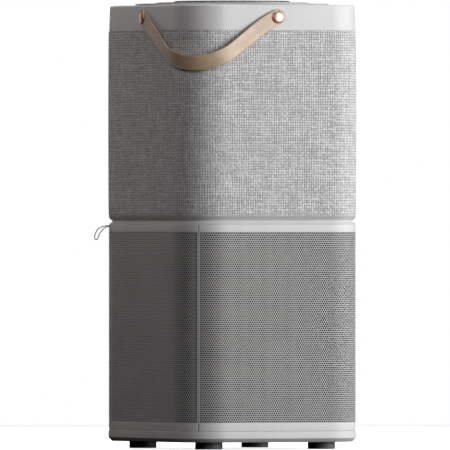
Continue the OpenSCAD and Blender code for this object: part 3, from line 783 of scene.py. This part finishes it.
def inlet_surround():
    face = HALF_W + 0.0004
    rings = [
        rounded_box(0.0194, 0.0156, 0.0032, face),
        rounded_box(0.0197, 0.0159, 0.0035, face - 0.0003),
        rounded_box(0.0197, 0.0159, 0.0035, face - 0.0012),
        rounded_box(0.0143, 0.0103, 0.0008, face - 0.0022),
        rounded_box(0.0143, 0.0103, 0.0008, face - 0.0003),
        rounded_box(0.0146, 0.0106, 0.0011, face),
    ]
    count = len(rings[0])
    faces = ring_faces(len(rings), count, True, True)
    points = [point for ring in rings for point in ring]
    new_mesh("inlet_surround", points, faces, "root", light_plastic, slot="plastic_light")


inlet_surround()

# %% [markdown]
# ## Base, waist, band and top
# These mouldings follow the same outline, so each is one closed profile swept round it. Small
# round edges catch a thin highlight, which is what makes two parts read as separate.

# %% Base, waist, band and top
PROUD = 0.0008

base_profile = rounded([
    (BASE_LOW, 0.020), (BASE_LOW, 0.0042), (BASE_LOW + 0.005, -PROUD), (SKIN_LOW - 0.0002, -PROUD),
    (SKIN_LOW - 0.0002, 0.004), (BASE_LOW + 0.003, 0.004), (BASE_LOW + 0.003, 0.020),
], 0.0006)
loft("base_ring", base_profile, "root", light_plastic, replaces=["base_tray"], slot="plastic_light")


def plate(name, z, inset, body, material, hole=0.0, thickness=0.0025, **rest):
    """A flat plate of the tower's outline, with a round hole in the middle or none."""
    steps = outline_steps(0.0, AROUND)[:-1]
    points, faces = [], []
    count = len(steps)
    for level in (z, z + thickness):
        for u in steps:
            x, y, _, _ = on_outline(u, inset)
            points.append((x, y, level))
        for u in steps:
            x, y, _, _ = on_outline(u, inset)
            reach = math.hypot(x, y)
            points.append((x * hole / reach, y * hole / reach, level))
    for i in range(count):
        j = (i + 1) % count
        low_out, low_in, high_out, high_in = (k * count for k in range(4))
        faces.append((low_out + j, low_out + i, low_in + i, low_in + j))
        faces.append((high_out + i, high_out + j, high_in + j, high_in + i))
        faces.append((low_out + i, low_out + j, high_out + j, high_out + i))
        faces.append((low_in + j, low_in + i, high_in + i, high_in + j))
    return new_mesh(name, points, faces, body, material, **rest)


plate("base_floor", BASE_LOW + 0.0004, 0.019, "root", light_plastic, hole=0.002, slot="plastic_light")

groove = 0.005
waist_under = SKIN_TOP + 0.00005
waist_profile = rounded([
    (WAIST_LOW, 0.0003), (WAIST_LOW + 0.0012, 0.0003), (WAIST_LOW + 0.0040, groove - 0.0003),
    (WAIST_TOP - 0.0039, groove - 0.0003), (WAIST_TOP, 0.0005), (WAIST_TOP, 0.015),
    (waist_under, 0.015), (waist_under, 0.0010), (WAIST_LOW, 0.0010),
], 0.0003)
loft("waist_ring", waist_profile, "root", light_plastic, replaces=["waist_frame"], slot="plastic_light")
inlet_r = 0.070
plate("waist_plate", WAIST_LOW, 0.0149, "root", mid_plastic, hole=inlet_r, thickness=0.003,
      slot="plastic_grey")

band_profile = rounded([
    (BAND_LOW, 0.0002), (BAND_TOP - 0.002, 0.0014), (BAND_TOP, 0.0026),
    (BAND_TOP, 0.0052), (BAND_LOW, 0.0052),
], 0.0008)
loft("top_band", band_profile, "root", light_plastic, replaces=["top_ring"], slot="plastic_light")

cover_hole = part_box("outlet_grille")[1][0] - 0.0051
plate("top_plate", BAND_TOP - 0.0035, 0.0054, "root", light_plastic, hole=cover_hole,
      thickness=0.0031, replaces=["top_cover"], slot="plastic_light")

# %% [markdown]
# ## The fabric sleeve
# The sleeve is stretched over the housing, so it lies flat and has no folds. Its weave is real
# relief: a fine grid whose points dip where four yarns meet. It has a smooth hem below.

# %% The sleeve
SLEEVE_PROUD = 0.0003
SLEEVE_RELIEF = 0.00022
BULGE = 0.0006


def sleeve():
    columns = round(AROUND / (YARN / 2))
    rows = round((CLOTH_TOP - CLOTH_LOW) / (YARN / 2))
    points, faces, coords = [], [], []
    for r in range(rows + 1):
        share = r / rows
        z = CLOTH_LOW + (CLOTH_TOP - CLOTH_LOW) * share
        crown = BULGE * math.sin(math.pi * share) ** 0.5 if 0 < share < 1 else 0.0
        curl = 0.0010 * max(0.0, 1 - (z - CLOTH_LOW) / 0.003) ** 2
        for c in range(columns):
            dip = SLEEVE_RELIEF if (r % 2 == 0 and c % 2 == 0) else 0.0
            x, y, nx, ny = on_outline(AROUND * c / columns)
            out = SLEEVE_PROUD + crown - dip - curl
            points.append((x + out * nx, y + out * ny, z))
    for r in range(rows):
        for c in range(columns):
            d = (c + 1) % columns
            faces.append((r * columns + c, r * columns + d, (r + 1) * columns + d, (r + 1) * columns + c))
            for cc, rr in ((c, r), (c + 1, r), (c + 1, r + 1), (c, r + 1)):
                coords.append((cc * YARN / 2, rr * YARN / 2))
    piece = new_mesh("fabric_sleeve", points, faces, "root", cloth_finish,
                     replaces=["fabric_cover"], slot="woven_fabric")
    layer = piece.data.uv_layers.new(name="cloth")
    for spot, uv in zip(layer.data, coords):
        spot.uv = uv
    print("sleeve points", len(points))
    return piece


sleeve()

hem_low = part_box("hem_strip")[0][2]
hem_profile = rounded([
    (hem_low, 0.0004), (CLOTH_LOW + 0.0004, -0.0002), (CLOTH_LOW + 0.0004, 0.0006), (hem_low, 0.0008),
], 0.0002)
loft("sleeve_hem", hem_profile, "root", hem_cloth, replaces=["hem_strip"], slot="plastic_light")

# %% [markdown]
# ## The carrying strap
# One strip of leather runs from rivet to rivet round the corner. The leg on the door side falls
# nearly straight and the other leg curves all the way. The strip is swept along the same route
# as the model's.

# %% The strap's route
STRAP_W = 0.020
STRAP_T = 0.0025
STRAP_SAG = 0.0603
STRAP_STAND = 0.008
STRAP_END = 0.011
RIVET_Z = next(j for j in frame["joints"] if j["name"] == "handle_lift")["pos_m"][2]
RIVET_A_Y = -0.003
RIVET_B_X = -0.005
leg_a = RIVET_A_Y + FLAT_D / 2
leg_b = FLAT_W / 2 + RIVET_B_X
STRAP_LEN = leg_a + ARC + leg_b


def straight_leg(t):
    """Share of the sag on the door side: straight, then rounded."""
    bend = 0.3
    slope = 1 / (1 - bend / 2)
    return slope * t if t < 1 - bend else slope * (t - (t - 1 + bend) ** 2 / (2 * bend))


def curved_leg(t):
    """Share of the sag on the next side, which curves all the way."""
    if t < 0:
        return t * math.pi / 4
    return (1 - math.cos(math.pi * t)) / 4 + math.sin(math.pi / 2 * t) / 2


def strap_point(s):
    """Centre of the strap and the outward direction, at a distance from the first rivet."""
    x, y, nx, ny = on_outline(s - leg_a)
    low = STRAP_LEN * 0.535
    drop = straight_leg(s / low) if s < low else curved_leg((STRAP_LEN - s) / (STRAP_LEN - low))
    share = min(max(s / STRAP_LEN, 0), 1)
    out = STRAP_T / 2 + 0.0001 + STRAP_STAND * math.sin(math.pi * share) ** 1.5
    return Vector((x + out * nx, y + out * ny, RIVET_Z - STRAP_SAG * drop)), Vector((nx, ny, 0))


def strap():
    """The leather strip: a rounded section swept along the route, with rounded ends."""
    count, rings = 16, 140
    points, coords = [], []
    for k in range(rings + 1):
        s = -STRAP_END + (STRAP_LEN + 2 * STRAP_END) * k / rings
        here, outward = strap_point(s)
        along = (strap_point(s + 0.001)[0] - strap_point(s - 0.001)[0]).normalized()
        n = (outward - outward.dot(along) * along).normalized()
        up = n.cross(along)
        share = min(max(s / STRAP_LEN, 0), 1)
        lean = math.radians(10) * math.sin(math.pi * share) ** 2
        across = up * math.cos(lean) + n * math.sin(lean)
        thick = n * math.cos(lean) - up * math.sin(lean)
        past = max(0.0, -s, s - STRAP_LEN) / STRAP_END
        half = STRAP_W / 2 * math.sqrt(max(1 - min(past, 0.999) ** 2, 0.03))
        for i in range(count):
            a = 2 * math.pi * (i + 0.5) / count
            cx, cy = math.cos(a), math.sin(a)
            power = 0.25
            px = math.copysign(abs(cx) ** power, cx) * half
            py = math.copysign(abs(cy) ** power, cy) * STRAP_T / 2
            points.append(here + across * px + thick * py)
            coords.append((s * 4, 0.5 + 0.5 * px / (STRAP_W / 2) * 0.98))
    faces = ring_faces(rings + 1, count, False, True)
    faces.append(tuple(range(count)))
    faces.append(tuple(range(rings * count, (rings + 1) * count))[::-1])
    piece = new_mesh("leather_strap", points, faces, None, leather, slot="leather")
    layer = piece.data.uv_layers.new(name="strap")
    for loop in piece.data.loops:
        layer.data[loop.index].uv = coords[loop.vertex_index]
    return piece


strap_piece = strap()
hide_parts("handle_strap", "strap_ends")
door_end = Vector((-HALF_W, RIVET_A_Y, RIVET_Z))
next_end = Vector((RIVET_B_X, -HALF_D, RIVET_Z))
chord = (next_end - door_end).normalized()
outdoors = chord.cross(Vector((0, 0, 1))) * -1
if outdoors.x > 0:
    outdoors = -outdoors
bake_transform(strap_piece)

# %% [markdown]
# ## The rivets
# A turned head with a shallow dome and a shank clamps each end of the strap. It is one profile
# turned about the rivet's axis, so the dome and the shank stay one piece.

# %% Rivets
HEAD_R = 0.00825
HEAD_H = 0.0024


def rivet_head(name, centre, axis):
    turns = [math.pi / 2 * k / 8 for k in range(8)]
    dome = [(HEAD_R * math.cos(turn), HEAD_H * math.sin(turn)) for turn in turns]
    profile = [(0, -0.0075), (0.0023, -0.0075), (0.0023, 0.0), (HEAD_R - 0.0006, 0.0), (HEAD_R, 0.0003)]
    profile += [(r, 0.0003 + h) for r, h in dome[1:]] + [(0, 0.0003 + HEAD_H)]
    return lathe(name, profile, "root", rose_copper, centre, axis, slot="rose_copper")


rivet_lift = STRAP_T + 0.0002
door_rivet = rivet_head("rivet_door_side", door_end + Vector((-rivet_lift, 0, 0)), (-1, 0, 0))
rivet_head("rivet_next_side", next_end + Vector((0, -rivet_lift, 0)), (0, -1, 0))
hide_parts("rivets")

# %% [markdown]
# ## The outlet grille
# Air leaves through a round stepped grille. Its fins sweep out from the hub in one direction, so
# one fin repeated round the middle makes the whole fan of them.

# %% The grille
FIN_COUNT = 36
HUB_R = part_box("control_hub")[1][0]
RIM_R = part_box("outlet_grille")[1][0]
GRILLE_R = RIM_R - 0.0055
GRILLE_LOW = BAND_TOP - 0.0035
RISE = APEX - BAND_TOP
STEPS = [
    (HUB_R, APEX),
    (HUB_R + 0.50 * (GRILLE_R - HUB_R), BAND_TOP + 0.66 * RISE),
    (HUB_R + 0.76 * (GRILLE_R - HUB_R), BAND_TOP + 0.36 * RISE),
]
FIN_SWEEP = math.radians(38)


def top_at(r):
    return [z for inner, z in STEPS if r >= inner - 1e-6][-1]


def one_fin():
    """A curved fin whose top follows the steps."""
    thick = 0.0015
    edges = [HUB_R + 0.001] + [r for r, _ in STEPS[1:]] + [GRILLE_R - 0.004]
    stations = []
    for inner, outer in zip(edges, edges[1:]):
        stations += [inner + 0.00002 + (outer - inner - 0.00004) * k / 6 for k in range(7)]
    points = []
    for r in stations:
        share = (r - edges[0]) / (edges[-1] - edges[0])
        a = FIN_SWEEP * share**2
        here = Vector((r * math.cos(a), r * math.sin(a), 0))
        slope = a + math.atan2(r * 2 * FIN_SWEEP * share, edges[-1] - edges[0])
        side = Vector((-math.sin(slope), math.cos(slope), 0)) * thick / 2
        top = top_at(r) - 0.0002
        brow = top - 0.0004
        section = ((-1, GRILLE_LOW), (-1, brow), (-0.4, top), (0.4, top), (1, brow), (1, GRILLE_LOW))
        points += [here + side * offset + Vector((0, 0, z)) for offset, z in section]
    count = len(stations)
    ends = [tuple(range(6)), tuple(range(6 * count - 6, 6 * count))[::-1]]
    faces = ring_faces(count, 6, False, True) + ends
    mesh = bpy.data.meshes.new("fin")
    mesh.from_pydata([tuple(p) for p in points], [], faces)
    fin = bpy.data.objects.new("outlet_fins", mesh)
    bpy.context.collection.objects.link(fin)
    return fin


def fin_ring():
    tree = Tree("fins", Fins=FIN_COUNT)
    spots = tree.add("GeometryNodeMeshLine", {"Count": tree.given("Fins"), "Offset": (0, 0, 0)})
    index = tree.add("GeometryNodeInputIndex", {})
    angle = tree.maths("DIVIDE", tree.maths("MULTIPLY", index, 2 * math.pi), tree.given("Fins"))
    turn = tree.add("ShaderNodeCombineXYZ", {"Z": angle})
    rotation = tree.add("FunctionNodeEulerToRotation", {"Euler": turn})
    tree.result = tree.add(
        "GeometryNodeInstanceOnPoints",
        {"Points": spots, "Instance": tree.given("Geometry"), "Rotation": rotation},
    )
    piece = tree.apply(one_fin(), grille_plastic)
    finish_piece(piece, "root", None, ["outlet_grille"])
    return piece


def ring(name, r_in, r_out, z_low, z_high, material, edge=0.0004):
    profile = rounded([(r_in, z_low), (r_out, z_low), (r_out, z_high), (r_in, z_high)], edge, 3)
    return lathe(name, profile + profile[:1], "root", material, steps=144, slot="plastic_dark")


fin_ring()
ring("grille_flange", GRILLE_R - 0.005, RIM_R, BAND_TOP + 0.0001, STEPS[2][1], grille_plastic, 0.0006)
ring("grille_rim", GRILLE_R - 0.005, GRILLE_R, GRILLE_LOW, BAND_TOP + 0.0008, grille_plastic)
ring("grille_step_outer", STEPS[2][0] - 0.002, STEPS[2][0], GRILLE_LOW, STEPS[1][1], grille_plastic)
ring("grille_step_inner", STEPS[1][0] - 0.002, STEPS[1][0], GRILLE_LOW, APEX, dark_plastic)
ring("grille_collar", HUB_R + 0.0003, HUB_R + 0.003, GRILLE_LOW - 0.0005, APEX, dark_plastic)

# %% [markdown]
# ## Feet
# Each foot is a moulded rubber disc with a soft edge and a well for its screw, so one profile
# is turned four times.

# %% Feet
foot_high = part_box("feet")[1]
FOOT_R = 0.018
FOOT_H = foot_high[2]
foot_x, foot_y = foot_high[0] - FOOT_R, foot_high[1] - FOOT_R
feet = []
for sx in (-1, 1):
    for sy in (-1, 1):
        profile = [(0.0045, 0.0), (FOOT_R - 0.0005, 0.0), (FOOT_R - 0.00015, 0.00015), (FOOT_R, 0.0005),
                   (FOOT_R, FOOT_H), (0.002, FOOT_H), (0.002, 0.004), (0.0045, 0.004), (0.0045, 0.0)]
        feet.append(lathe(f"foot_{len(feet) + 1}", profile, "root", rubber, (sx * foot_x, sy * foot_y, FLOOR),
                          slot="rubber"))
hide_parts("feet")

# %% [markdown]
# ## The pull loop
# A narrow woven tape is folded into a drop shape and clipped behind the door's top edge. Its
# middle line is a quarter turn that droops under its own weight, with a strand on each side.

# %% Pull loop
LOOP_POLAR = math.radians(154)
LOOP_W = 0.009
loop_centre = Vector((-(HALF_W - CORNER), HALF_D - CORNER, 0))
loop_out = Vector((math.cos(LOOP_POLAR), math.sin(LOOP_POLAR), 0))
loop_side = Vector((-loop_out.y, loop_out.x, 0))


def loop_spine(u):
    """Middle line between the loop's two strands, which droops away from the door."""
    reach, fall = 0.0168, 0.018
    top = SKIN_TOP - 0.0018
    return Vector((CORNER + reach * math.sin(math.pi / 2 * u), top - fall * (1 - math.cos(math.pi / 2 * u))))


def pull_loop():
    """A tape that leaves the door near its top edge, turns round below and comes back."""
    steps, gap, thick = 24, 0.0052, 0.0012
    strand = []
    for side in (1, -1):
        order = range(steps + 1) if side == 1 else range(steps - 1, -1, -1)
        for k in order:
            u = math.sin(math.pi / 2 * k / steps)
            along = (loop_spine(u + 0.01) - loop_spine(u - 0.01)).normalized()
            half = gap / 2 * min(1, 2 * u) * math.sqrt(max(0, 1 - max(0, (u - 1) / 0.15 + 1) ** 2))
            spread = max(half, thick / 2 if k < steps / 2 else 0)
            strand.append(loop_spine(u) + side * spread * Vector((-along.y, along.x)))
    points = []
    for i, p in enumerate(strand):
        ahead = (strand[min(i + 1, len(strand) - 1)] - strand[max(i - 1, 0)]).normalized()
        normal = Vector((-ahead.y, ahead.x))
        for side, lift in ((-1, -1), (1, -1), (1, 1), (-1, 1)):
            q = p + normal * lift * thick / 2
            points.append(loop_centre + loop_out * q.x + loop_side * side * LOOP_W / 2 + Vector((0, 0, q.y)))
    ends = [(0, 1, 2, 3), tuple(range(len(points) - 4, len(points)))[::-1]]
    faces = ring_faces(len(strand), 4, False, True) + ends
    return new_mesh("door_pull_loop", points, faces, "door", tape, replaces=["pull_loop"], slot="woven_tape")


pull_loop()

# %% [markdown]
# ## The filter
# One long sheet of paper is folded into deep pleats round a carbon core, and thin beads of glue
# keep the folds apart. The folds are a zigzag of two radii, so their number is one value.

# %% Pleated filter
media_low, media_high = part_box("filter_media")
PLEATS = 140
core_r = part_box("carbon_lining")[1][0]


def pleated_media():
    outer, inner = media_high[0], core_r
    points, faces = [], []
    for z in (media_low[2], media_high[2]):
        for k in range(2 * PLEATS):
            a = math.pi * k / PLEATS
            r = outer if k % 2 else outer - 0.028
            points.append((r * math.cos(a), r * math.sin(a), z))
        for k in range(2 * PLEATS):
            a = math.pi * k / PLEATS
            points.append((inner * math.cos(a), inner * math.sin(a), z))
    n = 2 * PLEATS
    for i in range(n):
        j = (i + 1) % n
        faces += [(i, j, 2 * n + j, 2 * n + i), (n + j, n + i, 3 * n + i, 3 * n + j),
                  (j, i, n + i, n + j), (2 * n + i, 2 * n + j, 3 * n + j, 3 * n + i)]
    piece = new_mesh("filter_pleats", points, faces, "filter", paper,
                     replaces=["filter_media", "prefilter_mesh"], slot="filter_paper", smooth=False)
    return piece


pleated_media()
for k in range(5):
    z = media_low[2] + (media_high[2] - media_low[2]) * (k + 1) / 6
    r = media_high[0]
    bead = [(r - 0.001, z - 0.001), (r + 0.0006, z - 0.001), (r + 0.0006, z + 0.001), (r - 0.001, z + 0.001),
            (r - 0.001, z - 0.001)]
    lathe(f"pleat_bead_{k + 1}", bead, "filter", foam, steps=96, slot="filter_mesh")

# %% [markdown]
# ## Finishes for the model's own nodes
# Everything else keeps its CAD shape and only takes a finish.

# %% Finishes by node
NODE_FINISH = {
    steel: ["foot_screws", "post_screws", "inlet_contacts", "bearings", "strike_plates", "key_switch",
            "rivet_plates", "hinge_pins", "door_magnets", "motor_shaft", "motor_rotor"],
    mid_plastic: ["filter_rails", "corner_posts", "inlet_ring", "upper_housing", "fan_duct", "diffuser",
                  "motor_cap", "power_supply"],
    dark_plastic: ["door_frame", "loop_clip", "mains_inlet", "particle_sensor", "door_sensor",
                   "filter_cap_bottom", "filter_cap_top"],
    gloss_black: ["control_hub"],
    button_plastic: ["power_button"],
    board_green: ["main_board", "display_board"],
    copper_wire: ["motor_stator"],
    carbon: ["carbon_lining"],
    foam: ["filter_seal"],
    tape: ["filter_tab"],
    white_plastic: ["impeller"],
}
for material, names in NODE_FINISH.items():
    for name in names:
        node = frame["nodes"][name]
        node.data.materials.clear()
        node.data.materials.append(material)

# %% [markdown]
# ## The studio
# The main light is a soft panel well to the right, so the door's side is in shade and the tone
# turns over the rounded corner. A second panel at the far right brightens that edge, and a faint
# warm panel on the left lifts the shaded side. The surroundings and the floor are plain and
# pale, and add no light of their own to the tower.

# %% Studio
def soft_light(name, place, size, watts, tint=(1, 1, 1)):
    data = bpy.data.lights.new(name, "AREA")
    data.shape = "RECTANGLE"
    data.size, data.size_y = size
    data.energy = watts
    data.color = tint
    lamp = bpy.data.objects.new(name, data)
    bpy.context.collection.objects.link(lamp)
    lamp.location = place
    lamp.rotation_euler = (Vector((0, 0, 0.3)) - lamp.location).to_track_quat("-Z", "Y").to_euler()


soft_light("key_right", (1.54, -1.85, 0.54), (1.6, 1.7), 79)
soft_light("right_edge", (2.3, -0.5, 0.5), (1.0, 1.2), 21)
soft_light("front_left", (-1.8, -1.6, 1.3), (1.6, 1.2), 15, (1, 0.955, 0.945))
soft_light("back_left", (-0.36, 0.50, 0.5), (0.25, 0.6), 0.5, (1.0, 0.90, 0.86))
soft_light("top", (0.1, 0.2, 2.5), (1.2, 1.2), 26)
soft_light("behind", (0.8, 2.3, 0.75), (1.2, 1.6), 22)

world = bpy.data.worlds.new("studio")
world.use_nodes = True
world.node_tree.nodes["Background"].inputs[0].default_value = (1, 1, 1, 1)
world.cycles_visibility.diffuse = False
world.cycles_visibility.glossy = False
bpy.context.scene.world = world
bpy.context.scene.view_settings.view_transform = "Standard"


def studio_finish():
    f = Finish("studio_floor")
    tone = f.colour_mix(f.noise(1.5), grey(0.84), grey(0.88))
    f.shader.inputs["Emission Strength"].default_value = 0.8
    return f.paint(colour=tone, roughness=0.9, glow=(1, 1, 1, 1))


def studio_floor():
    size, sides = 3.0, 96
    turns = [2 * math.pi * k / sides for k in range(sides)]
    rim = [(size * math.cos(turn), size * math.sin(turn), 0) for turn in turns]
    mesh = bpy.data.meshes.new("floor")
    mesh.from_pydata(rim, [], [tuple(range(sides))])
    floor = bpy.data.objects.new("floor", mesh)
    bpy.context.collection.objects.link(floor)
    mesh.materials.append(studio_finish())
    floor.location.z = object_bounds()[0][2] - 0.0002
    floor.visible_diffuse = False
    floor.visible_glossy = False
    floor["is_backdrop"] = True


studio_floor()
